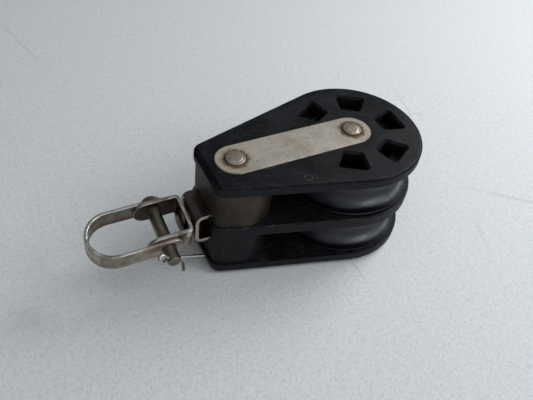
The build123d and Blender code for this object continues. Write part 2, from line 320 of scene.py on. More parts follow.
@dataclass(frozen=True)
class MouldedPlastic:
    """Black moulded nylon, finely scratched, dusty on top and rubbed pale along its edges."""

    name: str
    dark: Colour = (0.0028, 0.0028, 0.0042)
    light: Colour = (0.0075, 0.0074, 0.0098)
    dust: Colour = (0.2, 0.195, 0.19)
    dustiness: float = 0.05
    gloss: float = 0.17
    edge_gloss: float = 0.35
    wear: float = 0.05
    scratching: float = 0.2
    graininess: float = 0.07
    # Painted shade on nearly level faces, from 0 to 1.
    painted_level_shade: float = 0.0
    roughness: float = 0.48

    def make(self) -> bpy.types.Material:
        """Build the material."""
        g = Graph(self.name)
        cloud = g.noise(g.place, 90, detail=5)
        colour = g.blend(g.band(cloud, 0.35, 0.7), self.dark, self.light)
        facing = g.split(g.normal)[2]
        up = g.band(facing, 0.4, 1.0)
        patch = g.band(g.noise(g.mapped(shift=(3, 1, 2)), 55, detail=6, rough=0.65), 0.42, 0.75)
        colour = g.blend(g.product(up, patch, self.dustiness), colour, self.dust)
        slope = g.calc("ABSOLUTE", facing)
        edge = g.calc("MULTIPLY", g.band(slope, 0.12, 0.6), g.band(slope, 0.985, 0.8))
        rub = g.band(g.noise(g.place, 260, detail=5, rough=0.7), 0.38, 0.7)
        colour = g.blend(g.product(edge, rub, self.wear), colour, self.dust)
        lines = self.scratches(g)
        colour = g.blend(g.product(lines, self.scratching), colour, self.dust)
        fine = g.band(g.noise(g.mapped(shift=(9, 4, 6)), 520, detail=6, rough=0.8), 0.47, 0.74)
        colour = g.blend(g.product(fine, self.graininess), colour, self.dust)
        specks = g.band(g.cells(g.place, 330), 0.1, 0.055)
        speckle = g.calc("MULTIPLY", specks, g.band(g.noise(g.place, 150), 0.55, 0.62))
        colour = g.blend(g.product(speckle, 0.4), colour, self.dust)
        # Painted shade: faces lying nearly level (the sheaves' flat sides, seen through the cheek
        # windows) are darkened to near black, and lose gloss below.
        level = g.product(g.band(slope, 0.9, 0.98), self.painted_level_shade)
        colour = g.blend(level, colour, (0.002, 0.002, 0.003))
        relief = g.bump(g.noise(g.place, 1900, detail=3), 0.06 * MM, 0.6)
        relief = g.bump(lines, 0.05 * MM, 0.6, relief)
        relief = g.bump(g.noise(g.place, 45, detail=2), 0.25 * MM, 0.25, relief)
        rough = g.band(cloud, 0.3, 0.75, self.roughness - 0.08, self.roughness + 0.12)
        gloss = g.band(edge, 0.2, 0.9, self.gloss, self.gloss * self.edge_gloss)
        gloss = g.product(gloss, g.calc("SUBTRACT", 1.0, g.calc("MULTIPLY", level, 0.8)))
        return g.finish(Base_Color=colour, Roughness=rough, Normal=relief, Specular_IOR_Level=gloss)

    def scratches(self, g: Graph) -> Feed:
        """Fine straight scratches in four directions."""
        total: Feed = 0.0
        for turn, shift in ((18, 0.0), (-37, 0.7), (74, 1.9), (-64, 2.6)):
            stretched = g.mapped((1, 34, 1), (0, 0, turn), (shift, shift, 0))
            streak = g.noise(stretched, 62, detail=3, rough=0.6)
            total = g.calc("MAXIMUM", total, g.band(streak, 0.67, 0.73))
        level = g.band(g.calc("ABSOLUTE", g.split(g.normal)[2]), 0.8, 0.95)
        return g.calc("MULTIPLY", total, level)


@dataclass(frozen=True)
class StainedSteel:
    """Weathered stainless steel: brushed, tea-stained and pitted, with rust round given places.

    edge_axis is the axis along which the sheared edges face, and edge_shine how bare they are.
    halos are places with rust round them, darkened further on the strap and fork as painted contact
    and corner shade, and bar is the (middle, half length, radius) of an outline with a stained border.
    scuff is a (place, half length, half width), hollow is a place that the stained inner faces look at,
    and spots are (place, radius, colour).
    """

    name: str
    metal: Colour = (0.55, 0.52, 0.47)
    stain: Colour = (0.28, 0.22, 0.16)
    rust: Colour = (0.13, 0.055, 0.018)
    shine: Colour = (0.85, 0.83, 0.79)
    staining: float = 0.35
    mottling: float = 0.7
    pitting: float = 0.3
    roughness: float = 0.42
    metallic: float = 1.0
    grain: Grain = Grain.ALONG
    edge_axis: int | None = None
    edge_shine: float = 0.7
    halos: tuple = ()
    halo_weights: tuple = (1, 1, 0)
    halo_inner: float = 3.4 * MM
    halo_outer: float = 6.2 * MM
    halo_strength: float = 0.9
    ochre: Colour = (0.36, 0.27, 0.16)
    ochre_outer: float = 0.0
    bar: tuple | None = None
    scuff: tuple | None = None
    spots: tuple = ()
    hollow: tuple | None = None
    hollow_stain: Colour = (0.035, 0.024, 0.015)
    hollow_strength: float = 0.92

    def make(self) -> bpy.types.Material:
        """Build the material."""
        g = Graph(self.name)
        mottle = g.noise(g.place, 240, detail=6, rough=0.65)
        tone = g.band(mottle, 0.34, 0.68)
        colour = g.blend(g.product(tone, self.mottling), self.metal, tuple(0.5 * c for c in self.metal))
        patches = g.noise(g.mapped(shift=(5, 2, 9)), 85, detail=6, rough=0.7, twist=0.6)
        colour = g.blend(g.product(g.band(patches, 0.42, 0.7), self.staining), colour, self.stain)
        brush = g.noise(g.mapped(self.grain.value), 60, detail=3, rough=0.6)
        colour = g.blend(g.product(g.band(brush, 0.4, 0.7), 0.2), colour, self.stain)
        bare: Feed = 0.0
        if self.edge_axis is not None:
            bare = self.bare_edges(g)
            colour = g.blend(bare, colour, self.shine)
        pits = self.pits(g)
        colour = g.blend(g.product(pits, self.pitting), colour, self.rust)
        rust_and_shade_halo: Feed = 0.0
        if self.bar:
            colour = g.blend(g.product(self.bar_border(g), 0.75), colour, self.rust)
        if self.ochre_outer:
            wide = self.halo_mask(g, self.halo_inner, self.ochre_outer)
            colour = g.blend(g.product(wide, 0.6), colour, self.ochre)
        # Rust round the halo places; on the strap and fork the darkest ring is painted contact and
        # corner shade as well.
        if self.halos:
            rust_and_shade_halo = g.product(self.halo_mask(g, self.halo_inner, self.halo_outer), self.halo_strength)
            colour = g.blend(rust_and_shade_halo, colour, self.rust)
        if self.scuff:
            colour = g.blend(g.product(self.scuffing(g), 0.8), colour, self.stain)
        # Spots tint round places: a pit on the strap, a painted highlight on the fork's bend and
        # painted shade on the split pin's bent leg.
        for place, radius, tint in self.spots:
            ragged = g.calc("MULTIPLY", g.noise(g.place, 700, detail=4), 0.6 * radius)
            spot = g.band(g.calc("ADD", g.distance(place), ragged), 1.6 * radius, 0.8 * radius)
            colour = g.blend(g.product(spot, 0.85), colour, tint)
        if self.hollow:
            depth = g.product(g.inward(self.hollow), g.band(mottle, 0.28, 0.5, 0.45, 1.0))
            colour = g.blend(g.product(depth, self.hollow_strength), colour, self.hollow_stain)
        relief = g.bump(brush, 0.02 * MM, 0.5)
        relief = g.bump(mottle, 0.05 * MM, 0.4, relief)
        relief = g.bump(g.calc("SUBTRACT", 1.0, pits), 0.06 * MM, 0.6, relief)
        rough = g.band(mottle, 0.3, 0.75, self.roughness - 0.07, self.roughness + 0.15)
        rough = g.calc("SUBTRACT", rough, g.calc("MULTIPLY", bare, 0.2))
        rough = g.calc("ADD", rough, g.calc("MULTIPLY", rust_and_shade_halo, 0.3))
        dulled = g.calc("MULTIPLY", rust_and_shade_halo, 0.75 * self.metallic)
        metallic = g.calc("SUBTRACT", self.metallic, dulled)
        return g.finish(Base_Color=colour, Roughness=rough, Metallic=metallic, Normal=relief)

    def bare_edges(self, g: Graph) -> Feed:
        """The sheared edges, rubbed bright in places."""
        facing = g.calc("ABSOLUTE", g.split(g.normal)[self.edge_axis])
        rub = g.band(g.noise(g.place, 180, detail=4), 0.3, 0.62)
        return g.product(g.band(facing, 0.3, 0.8), rub, self.edge_shine)

    def pits(self, g: Graph) -> Feed:
        """Scattered corrosion pits, thicker in some patches than in others."""
        dots = g.band(g.cells(g.place, 900), 0.3, 0.12)
        patches = g.band(g.noise(g.mapped(shift=(1, 7, 3)), 160, detail=3), 0.5, 0.66)
        return g.calc("MULTIPLY", dots, patches)

    def scuffing(self, g: Graph) -> Feed:
        """A patch of short crossing scuffs about a place, given with its half length and half width."""
        place, half_length, half_width = self.scuff
        inside = g.band(g.distance(place, (1 / half_length, 1 / half_width, 0)), 1.1, 0.6)
        total: Feed = 0.0
        for turn in (12, 63, -48):
            streak = g.noise(g.mapped((1, 5, 1), (0, 0, turn), (turn, 0, 0)), 330, detail=4, rough=0.65)
            total = g.calc("MAXIMUM", total, g.band(streak, 0.58, 0.68))
        return g.calc("MULTIPLY", total, inside)

    def ragged(self, g: Graph, scale: float, detail: float, depth: float) -> Feed:
        """Noise about 0 that makes an outline ragged by up to half of depth."""
        return g.product(g.calc("SUBTRACT", g.noise(g.place, scale, detail=detail), 0.5), depth)

    def bar_border(self, g: Graph) -> Feed:
        """Stain along the outline of a round-ended bar given by its middle, half length and radius."""
        middle, half_length, radius = self.bar
        x, y, _ = g.split(g.mapped(shift=(-middle, 0, 0)))
        past = g.calc("MAXIMUM", g.calc("SUBTRACT", g.calc("ABSOLUTE", x), half_length), 0.0)
        out = g.calc("SQRT", g.calc("ADD", g.product(past, past), g.product(y, y)))
        ragged = self.ragged(g, 300, 4, 1.1 * MM)
        border = g.band(g.calc("ADD", out, ragged), radius - 0.75 * MM, radius - 0.05 * MM)
        return g.calc("MULTIPLY", border, g.band(past, -0.1 * MM, 2.5 * MM, 0.35, 1.0))

    def halo_mask(self, g: Graph, inner: float, outer: float) -> Feed:
        """Mask round each of the halo places, full within inner, with a ragged edge at outer."""
        ragged = self.ragged(g, 420, 5, 3.2 * MM)
        total: Feed = 0.0
        for centre in self.halos:
            reach = g.calc("ADD", g.distance(centre, self.halo_weights), ragged)
            total = g.calc("MAXIMUM", total, g.band(reach, outer, inner))
        return total


@dataclass(frozen=True)
class PaleTable:
    """Painted table top, faintly mottled, with a few dark specks."""

    name: str = "pale_table"
    paint: Colour = (0.82, 0.825, 0.82)

    def make(self) -> bpy.types.Material:
        """Build the material."""
        g = Graph(self.name)
        mottle = g.noise(g.place, 300, detail=6)
        colour = g.blend(g.band(mottle, 0.3, 0.75), self.paint, self.shade(0.95))
        specks = g.band(g.cells(g.place, 42), 0.022, 0.012)
        colour = g.blend(g.product(specks, 0.6), colour, (0.2, 0.18, 0.15))
        fine = g.noise(g.place, 760, detail=5, rough=0.75)
        colour = g.blend(g.band(fine, 0.45, 0.72, 0.0, 0.9), colour, self.shade(0.7))
        streaks = g.noise(g.mapped((1, 5, 1), (0, 0, 35)), 120, detail=5, rough=0.7)
        colour = g.blend(g.band(streaks, 0.35, 0.75, 0.0, 0.5), colour, self.shade(0.93))
        crazing = g.band(g.cells(g.mapped(shift=(0.03, 0.05, 0)), 9, "DISTANCE_TO_EDGE"), 0.006, 0.002)
        broken = g.band(g.noise(g.place, 14, detail=3), 0.5, 0.6)
        colour = g.blend(g.product(crazing, broken, 0.35), colour, self.shade(0.6))
        relief = g.bump(g.noise(g.place, 1100, detail=4, rough=0.65), 0.26 * MM, 0.7)
        relief = g.bump(g.noise(g.place, 260, detail=4), 0.4 * MM, 0.4, relief)
        return g.finish(Base_Color=colour, Roughness=0.66, Normal=relief)

    def shade(self, amount: float) -> Colour:
        """The paint, darkened."""
        return tuple(amount * channel for channel in self.paint)


# ---------------------------------------------------------------- shapes


def rounded(corners: list[tuple], closed: bool = False, steps: int = 6) -> list[Point]:
    """Line through corners (x, y, radius), each rounded by an arc of its radius.

    Args:
        corners: The corners. A radius of 0 leaves one sharp.
        closed: Whether the line comes back to its start.
        steps: Straight steps in an arc.

    Returns:
        The points of the line.
    """
    points: list[Point] = []
    count = len(corners)
    for index, (x, y, radius) in enumerate(corners):
        inner = closed or 0 < index < count - 1
        if radius == 0 or not inner:
            points.append((x, y))
            continue
        corner = Vector((x, y))
        before = (Vector(corners[index - 1][:2]) - corner).normalized()
        after = (Vector(corners[(index + 1) % count][:2]) - corner).normalized()
        half_angle = before.angle(after) / 2
        centre = corner + (before + after).normalized() * radius / math.sin(half_angle)
        first = corner + before * radius / math.tan(half_angle) - centre
        sweep = math.pi - 2 * half_angle
        if before.cross(after) > 0:
            sweep = -sweep
        for step in range(steps + 1):
            turn = Matrix.Rotation(sweep * step / steps, 2)
            points.append(tuple(centre + turn @ first))
    return points


def bar_outline(left: float, right: float, side: float, radius: float, steps: int) -> list[Point]:
    """Outline of a bar between two X places, as wide as side each way, with rounded corners."""
    corners = [(left, -side), (right, -side), (right, side), (left, side)]
    return rounded([(x, y, radius) for x, y in corners], closed=True, steps=steps)


def ring(x: float, radius: float, steps: int = 40) -> list[Point]:
    """Circle about (x, 0), run clockwise so that it counts as a hole in a plate."""
    turns = [-2 * math.pi * step / steps for step in range(steps)]
    return [(x + radius * math.cos(turn), radius * math.sin(turn)) for turn in turns]


def linked(name: str, data: bpy.types.ID) -> bpy.types.Object:
    """New object with the given data, put in the scene."""
    result = bpy.data.objects.new(name, data)
    bpy.context.scene.collection.objects.link(result)
    return result


def store(shape: bmesh.types.BMesh, mesh: bpy.types.Mesh, merge: bool = True) -> None:
    """Turn a shape's faces outwards and write it to a mesh.

    Args:
        shape: The shape, which is freed.
        mesh: Where it goes.
        merge: Whether points that coincide become one first.
    """
    if merge:
        bmesh.ops.remove_doubles(shape, verts=shape.verts, dist=MERGE)
    bmesh.ops.recalc_face_normals(shape, faces=shape.faces)
    shape.to_mesh(mesh)
    shape.free()


def merged(piece: bpy.types.Object) -> bpy.types.Object:
    """The same object, its coinciding points merged and its faces turned outwards."""
    shape = bmesh.new()
    shape.from_mesh(piece.data)
    store(shape, piece.data)
    return piece


def add_line(curve: bpy.types.Curve, points: list[Point], kind: str = "POLY") -> bpy.types.Spline:
    """Add a flat line through points to a curve, closed if it is of straight runs."""
    spline = curve.splines.new(kind)
    spline.points.add(len(points) - 1)
    for point, (x, y) in zip(spline.points, points):
        point.co = (x, y, 0, 1)
    spline.use_cyclic_u = kind == "POLY"
    return spline


def to_mesh(source: bpy.types.Object, name: str) -> bpy.types.Object:
    """Turn an object with live modifiers, or a curve, into a plain mesh object and drop the source."""
    bpy.context.view_layer.update()
    graph = bpy.context.evaluated_depsgraph_get()
    mesh = bpy.data.meshes.new_from_object(source.evaluated_get(graph))
    bpy.data.objects.remove(source)
    mesh.name = name
    return linked(name, mesh)


def plate(name: str, outline: list[Point], holes: list[list[Point]], thickness: float,
          edge: float) -> bpy.types.Object:
    """Flat sheet in the XY plane with rounded edges, as thick above the plane as below it.

    Args:
        name: The object's name.
        outline: The outside, anticlockwise.
        holes: The holes, clockwise.
        thickness: Of the sheet.
        edge: Radius of the rounded edges.

    Returns:
        The mesh object.
    """
    curve = bpy.data.curves.new(name, "CURVE")
    curve.dimensions = "2D"
    curve.fill_mode = "BOTH"
    curve.extrude = thickness / 2 - edge
    curve.bevel_depth = edge
    curve.bevel_resolution = 2
    curve.offset = -edge
    for loop in (outline, *holes):
        add_line(curve, loop)
    return merged(to_mesh(linked(name, curve), name))


def lathe(name: str, profile: list[Point], steps: int = 96, closed: bool = False) -> bpy.types.Object:
    """Turn a profile of (radius, height) points about the Z axis.

    Args:
        name: The object's name.
        profile: The points, from the lowest on the axis to the highest, or all round a ring's section.
        steps: Facets round the axis.
        closed: Whether the profile is a closed section that stays off the axis.

    Returns:
        The mesh object.
    """
    shape = bmesh.new()
    verts = [shape.verts.new((radius, 0, height)) for radius, height in profile]
    pairs = list(zip(verts, verts[1:]))
    if closed:
        pairs.append((verts[-1], verts[0]))
    edges = [shape.edges.new(pair) for pair in pairs]
    bmesh.ops.spin(shape, geom=verts + edges, cent=(0, 0, 0), axis=(0, 0, 1), angle=2 * math.pi,
                   steps=steps, use_merge=True)
    mesh = bpy.data.meshes.new(name)
    store(shape, mesh)
    return linked(name, mesh)


def roughen(piece: bpy.types.Object, size: float, depth: float, offset: float = 0.0) -> None:
    """Move a piece's points in and out along their normals by smooth noise.

    Args:
        piece: The piece.
        size: Width of the lumps.
        depth: How deep they go. Nothing moves outwards.
        offset: Picks another run of the noise.
    """
    mesh = piece.data
    moves = [vertex.normal * depth * (noise.noise(vertex.co / size + Vector((offset, 0, 0))) - 1) / 2
             for vertex in mesh.vertices]
    for vertex, move in zip(mesh.vertices, moves):
        vertex.co += move


@dataclass
class BentStrip:
    """Strip of sheet bent into a U: a web across X = 0 and two arms that run towards -X."""

    name: str
    thickness: float
    width: float
    half: float
    bend: float
    reach: float
    tip_radius: float
    holes: tuple = ()
    web_hole: float = 0.0
    edge: float = 0.28 * MM
    cuts: int = 12

    def along(self, reach: float) -> float:
        """Length along the strip from the web's middle to a place on an arm."""
        return self.half - self.bend + math.pi * self.bend / 2 + reach - self.bend

    def make(self) -> bpy.types.Object:
        """Cut the flat blank with its holes, then bend it."""
        tip = self.along(self.reach)
        holes = [ring(sign * self.along(reach), radius)
                 for reach, radius in self.holes for sign in (-1, 1)]
        if self.web_hole:
            holes.append(ring(0, self.web_hole))
        outline = bar_outline(-tip, tip, self.width / 2, self.tip_radius, steps=14)
        piece = plate(self.name, outline, holes, self.thickness, self.edge)
        shape = bmesh.new()
        shape.from_mesh(piece.data)
        flat = self.half - self.bend
        for step in range(self.cuts + 1):
            for sign in (-1, 1):
                place = sign * (flat + math.pi * self.bend / 2 * step / self.cuts)
                everything = shape.verts[:] + shape.edges[:] + shape.faces[:]
                bmesh.ops.bisect_plane(shape, geom=everything, plane_co=(place, 0, 0),
                                       plane_no=(1, 0, 0))
        for vertex in shape.verts:
            vertex.co = self.bent(vertex.co)
        store(shape, piece.data, merge=False)
        return piece

    def bent(self, flat: Vector) -> Vector:
        """Where a point of the flat blank goes."""
        sign = 1 if flat.x >= 0 else -1
        length = abs(flat.x)
        straight = self.half - self.bend
        angle = min(max((length - straight) / self.bend, 0.0), math.pi / 2)
        past = max(length - straight - math.pi * self.bend / 2, 0.0)
        across = min(length, straight) + self.bend * math.sin(angle)
        back = -self.bend * (1 - math.cos(angle)) - past
        out = across + flat.z * math.sin(angle)
        return Vector((back + flat.z * math.cos(angle), sign * out, flat.y))


# ---------------------------------------------------------------- where things sit


@dataclass(frozen=True)
class Layout:
    """Places and sizes that several sub-assemblies share."""

    rivet_spacing: float = 50 * MM
    top: float = 47.3 * MM
    middle: float = 24.35 * MM
    base: float = 1.4 * MM
    swivel_height: float = 23.15 * MM
    swivel_turn: float = 9.0
    clevis_x: float = 79 * MM
    clevis_turn: float = 24.0
    sheet: float = 1.5 * MM
    bracket_face: float = 67.8 * MM
    fork_face: float = 68.7 * MM
    ear_outside: float = 10.1 * MM

    def at_swivel(self) -> Matrix:
        """Frame on the swivel's axis, turned as the fork stands."""
        return (Matrix.Translation((0, 0, self.swivel_height))
                @ Matrix.Rotation(math.radians(self.swivel_turn), 4, "X"))

    def on_swivel(self, x: float, y: float, z: float) -> tuple:
        """A place given in the swivel's frame, in the block's frame."""
        return tuple(self.at_swivel() @ Vector((x, y, z)))

    def at_clevis(self) -> Matrix:
        """Frame on the clevis pin's axis, which is its Y, turned as the pin stands."""
        return (self.at_swivel() @ Matrix.Translation((-self.clevis_x, 0, 0))
                @ Matrix.Rotation(math.radians(self.clevis_turn), 4, "Y"))

    def flipped(self) -> Matrix:
        """Half turn about the block's long middle line, which swaps its two sides."""
        return Matrix.Translation((0, 0, 2 * self.middle)) @ Matrix.Rotation(math.pi, 4, "X")


LAYOUT = Layout()
HALF_TURN = Matrix.Rotation(math.pi, 4, "Z")


@dataclass
class Bench:
    """Hands finished pieces to the frame."""

    frame: dict
    crease: float = 38.0

    def dress(self, material: bpy.types.Material, *nodes: str) -> None:
        """Give CAD nodes their material."""
        for node in nodes:
            mesh = self.frame["nodes"][node].data
            mesh.materials.clear()
            mesh.materials.append(material)
            LOG.info("dressed %s in %s", node, material.name)

    def hand_over(self, piece: bpy.types.Object, place: Matrix, material: bpy.types.Material, body: str,
                  slot: str, *nodes: str) -> None:
        """Place a piece, finish it and let it ride on its body in the nodes' stead.

        Args:
            piece: The piece, a mesh in its own frame.
            place: Where it goes.
            material: Its finish.
            body: The body that it rides on.
            slot: The record's material slot; not used.
            nodes: The CAD nodes that it stands for.
        """
        mesh = piece.data
        mesh.transform(place)
        mesh.materials.clear()
        mesh.materials.append(material)
        mesh.shade_smooth()
        mesh.set_sharp_from_angle(angle=math.radians(self.crease))
        evened = piece.modifiers.new("evened", "WEIGHTED_NORMAL")
        evened.keep_sharp = True
        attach(piece, body)
        if nodes:
            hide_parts(*nodes)
        LOG.info("%s rides on %s, %d faces", piece.name, body, len(mesh.polygons))


# ---------------------------------------------------------------- the shell


@dataclass
class Shell:
    """The three cheeks with their spacers, and the mould marks on the outer two."""

    mark_places: tuple = ((-29.6 * MM, -17.7 * MM), (25.2 * MM, 0.0))
    mark_radius: float = 1.45 * MM
    mark_wire: float = 0.13 * MM

    def build(self, bench: Bench) -> None:
        """Dress the cheeks and spacers and press the mould marks into the outer cheeks."""
        black = MouldedPlastic("black_nylon").make()
        side = MouldedPlastic("black_nylon_middle", dustiness=0.03, wear=0.3).make()
        # A darker copy of the black nylon for the spacer in the lower gap: painted shade.
        painted_shade_black = MouldedPlastic("painted_shade_nylon", dark=(0.0018, 0.0018, 0.003),
                              light=(0.0052, 0.0052, 0.0075), gloss=0.2, wear=0.1).make()
        brown = MouldedPlastic("weathered_nylon", dark=(0.0175, 0.0125, 0.0085),
                               light=(0.05, 0.037, 0.027), dust=(0.17, 0.13, 0.09), dustiness=0.2,
                               gloss=0.22, wear=0.25, graininess=0.16).make()
        bench.dress(black, "upper_cheek", "lower_cheek")
        bench.dress(side, "middle_cheek")
        bench.dress(painted_shade_black, "lower_head_spacer")
        bench.dress(brown, "upper_head_spacer")
        rubbed = MouldedPlastic("rubbed_nylon", dark=(0.012, 0.012, 0.011),
                                light=(0.06, 0.06, 0.054), wear=0.5, graininess=0.3).make()
        marks = self.mould_marks(rubbed)
        bench.hand_over(marks, Matrix(), rubbed, "block", "cheek_plastic")

    def mould_marks(self, material: bpy.types.Material) -> bpy.types.Object:
        """Thin raised rings left by the mould's ejectors, laid out by a node tree."""
        points = bpy.data.meshes.new("mould_marks")
        upper = [(x, y, LAYOUT.top) for x, y in self.mark_places]
        lower = [(x, -y, LAYOUT.base) for x, y in self.mark_places]
        points.from_pydata(upper + lower, [], [])
        carrier = linked("mould_marks", points)
        tree = ShapeTree("mould_mark_rings")
        radius = tree.number("Ring radius", self.mark_radius)
        wire = tree.number("Wire radius", self.mark_wire)
        path, section = [tree.add("GeometryNodeCurvePrimitiveCircle", Resolution=steps, Radius=size)
                         for steps, size in ((36, radius), (8, wire))]
        wires = tree.add("GeometryNodeCurveToMesh", Curve=path.outputs["Curve"],
                         Profile_Curve=section.outputs["Curve"])
        tree.close(tree.copies(tree.geometry, wires.outputs["Mesh"]), material)
        return tree.run(carrier)


@dataclass
class StrapsAndRivets:
    """The two side straps and the two rivets that hold the block together."""

    half_width: float = 7.75 * MM
    thickness: float = 1.5 * MM
    proud: float = 0.3 * MM
    stem: float = 2.5 * MM
    head: float = 3.7 * MM
    head_height: float = 1.1 * MM
    rim_round: float = 0.4 * MM
    dents: float = 0.24 * MM
    steady_share: float = 0.35

    def build(self, bench: Bench) -> None:
        """Make both straps and both rivets."""
        places = ((0, 0, 0), (-LAYOUT.rivet_spacing, 0, 0))
        half = LAYOUT.rivet_spacing / 2
        pit = (-31.2 * MM, -5.1 * MM, LAYOUT.top + self.proud)
        # The dark rings round the rivet heads are rust, darkened further as painted contact shadow at
        # their feet.
        steel = StainedSteel("strap_steel", metal=(0.59, 0.53, 0.45), stain=(0.28, 0.215, 0.155),
                             rust=(0.1, 0.05, 0.021), staining=0.5, mottling=0.55, pitting=0.5,
                             roughness=0.48, metallic=0.4, halos=places, halo_inner=4.3 * MM,
                             halo_outer=6.0 * MM, halo_strength=0.97, ochre_outer=7.6 * MM,
                             scuff=((-22 * MM, 0, 0), 12 * MM, 4.5 * MM),
                             bar=(-half, half, self.half_width),
                             spots=((pit, 0.32 * MM, (0.1, 0.05, 0.02)),)).make()
        for name, place in (("upper_side_strap", Matrix()), ("lower_side_strap", LAYOUT.flipped())):
            strap = self.strap(name.replace("side", "dressed"))
            bench.hand_over(strap, place, steel, "block", "strap_steel", name)
        rivet_steel = StainedSteel("rivet_steel", metal=(0.46, 0.405, 0.325), stain=(0.2, 0.145, 0.09),
                                   staining=0.6, pitting=0.5, roughness=0.34, metallic=0.6,
                                   grain=Grain.UPRIGHT).make()
        rivets = self.rivets(rivet_steel)
        bench.hand_over(rivets, Matrix(), rivet_steel, "block", "rivet_steel", "head_rivet",
                        "axle_rivet")

    def strap(self, name: str) -> bpy.types.Object:
        """Flat bar with round ends, let into the upper cheek."""
        side = self.half_width
        outline = bar_outline(-LAYOUT.rivet_spacing - side, side, side, side, steps=24)
        holes = [ring(0, self.stem), ring(-LAYOUT.rivet_spacing, self.stem)]
        strap = plate(name, outline, holes, self.thickness, 0.3 * MM)
        strap.data.transform(Matrix.Translation((0, 0, LAYOUT.top + self.proud - self.thickness / 2)))
        return strap

    def rivets(self, material: bpy.types.Material) -> bpy.types.Object:
        """Two through rivets, their heads dented by the hammer, repeated and dented by a node tree."""
        high = 2 * LAYOUT.middle
        foot = self.head_height
        lower = [(0, 0.0), *self.dome(0.28 * self.head_height, 0.0)]
        profile = lower + [(self.head, foot), (self.stem, foot), (self.stem, high - foot),
                           (self.head, high - foot)]
        profile += [(radius, high - height) for radius, height in reversed(lower)]
        carrier = lathe("hammered_rivets", profile, steps=72)
        tree = ShapeTree("two_hammered_rivets")
        depth = tree.number("Dent depth", self.dents)
        spacing = tree.number("Spacing", -LAYOUT.rivet_spacing)
        offset = tree.add("ShaderNodeCombineXYZ", X=spacing)
        row = tree.add("GeometryNodeMeshLine", Count=2, Offset=offset.outputs[0])
        pair = tree.realised(tree.copies(row.outputs["Mesh"], tree.geometry))
        moved = tree.add("GeometryNodeSetPosition", Geometry=pair, Offset=self.denting(tree, depth))
        tree.close(moved.outputs["Geometry"], material)
        return tree.run(carrier)

    def dome(self, edge_height: float, crown_height: float) -> list[Point]:
        """Low dome from the axis outwards to the head's rim, then down the rim's round."""
        rim = self.head - self.rim_round
        points = []
        for step in range(1, 15):
            share = step / 14
            dip = 0.1 * MM * math.exp(-((share - 0.86) / 0.07) ** 2)
            points.append((rim * share, crown_height + (edge_height - crown_height) * share ** 3 + dip))
        corner = edge_height + self.rim_round
        for step in range(1, 6):
            turn = math.pi / 2 * step / 5
            points.append((rim + self.rim_round * math.sin(turn),
                           corner - self.rim_round * math.cos(turn)))
        return points

    def denting(self, tree: ShapeTree, depth: bpy.types.NodeSocket) -> bpy.types.NodeSocket:
        """Offset along the normal by noise, stronger on the axle rivet than on the head rivet."""
        position = tree.add("GeometryNodeInputPosition").outputs[0]
        lumps = tree.add("ShaderNodeTexNoise", Vector=position, Scale=620.0, Detail=3.0)
        apart = tree.add("ShaderNodeSeparateXYZ", Vector=position)
        share = tree.add("ShaderNodeMapRange", Value=apart.outputs["X"], To_Min=self.steady_share,
                         To_Max=1.0, From_Min=-LAYOUT.rivet_spacing, From_Max=0.0)
        inward = tree.calc("MULTIPLY_ADD", lumps.outputs["Fac"], 1.4, -1.1)
        deep = tree.calc("MULTIPLY", tree.calc("MULTIPLY", inward, share.outputs["Result"]), depth)
        push = tree.add("ShaderNodeVectorMath")
        push.operation = "SCALE"
        tree.feed(push.inputs[0], tree.add("GeometryNodeInputNormal").outputs[0])
        tree.feed(push.inputs["Scale"], deep)
        return push.outputs["Vector"]


@dataclass
class SheaveSet:
    """The two grooved sheaves with their bushes, and the sleeves that they run on."""

    radius: float = 27 * MM
    width: float = 15.4 * MM
    groove: float = 6.6 * MM
    rim_round: float = 0.5 * MM
    dish_inner: float = 9 * MM
    dish_outer: float = 17.5 * MM
    dish_depth: float = 2.6 * MM
    bore: float = 6.5 * MM
    heights: tuple = (("upper", 35.0 * MM), ("lower", 13.7 * MM))

    def build(self, bench: Bench) -> None:
        """Turn both sheaves and dress their bearings."""
        # The level shade setting paints near-black shade onto the sheaves' nearly level faces, which
        # lie in the gaps between the cheeks.
        nylon = MouldedPlastic("rope_polished_nylon", dark=(0.009, 0.0105, 0.0155),
                               light=(0.02, 0.0225, 0.031), dustiness=0.0, wear=0.05, scratching=0.15,
                               gloss=0.55, edge_gloss=1.0, painted_level_shade=1.0, roughness=0.36).make()
        bush = MouldedPlastic("bearing_nylon", dark=(0.4, 0.38, 0.34), light=(0.55, 0.53, 0.48),
                              dust=(0.2, 0.18, 0.15), roughness=0.4).make()
        sleeve = StainedSteel("sleeve_steel", grain=Grain.UPRIGHT, staining=0.2).make()
        for side, height in self.heights:
            sheave = lathe(f"{side}_turned_sheave", self.profile(), steps=176, closed=True)
            place = Matrix.Translation((0, 0, height))
            bench.hand_over(sheave, place, nylon, f"{side}_wheel", "sheave_plastic", f"{side}_sheave")
            bench.dress(bush, f"{side}_sheave_bush")
            bench.dress(sleeve, f"{side}_axle_sleeve")

    def profile(self) -> list[Point]:
        """Closed half-section of a sheave about its own middle."""
        side = self.width / 2
        floor = side - self.dish_depth
        reach = math.acos(math.sqrt(1 - ((side - self.rim_round - 0.6 * MM) / self.groove) ** 2))
        groove = [(self.radius - self.groove * math.cos(turn), self.groove * math.sin(turn))
                  for turn in [reach * step / 16 for step in range(-16, 17)]]
        lean = 0.5 * MM
        lower = [(self.bore, -side, 0), (self.dish_inner, -side, 0.4 * MM),
                 (self.dish_inner + lean, -floor, 0.5 * MM), (self.dish_outer - lean, -floor, 0.5 * MM),
                 (self.dish_outer, -side, 0.4 * MM), (self.radius, -side, self.rim_round),
                 (self.radius, -side + self.rim_round + 0.3 * MM, 0.2 * MM), (*groove[0], 0)]
        upper = [(radius, -height, turn) for radius, height, turn in reversed(lower)]
        return rounded(lower, steps=5) + groove[1:-1] + rounded(upper, steps=5)


# ---------------------------------------------------------------- the head fittings


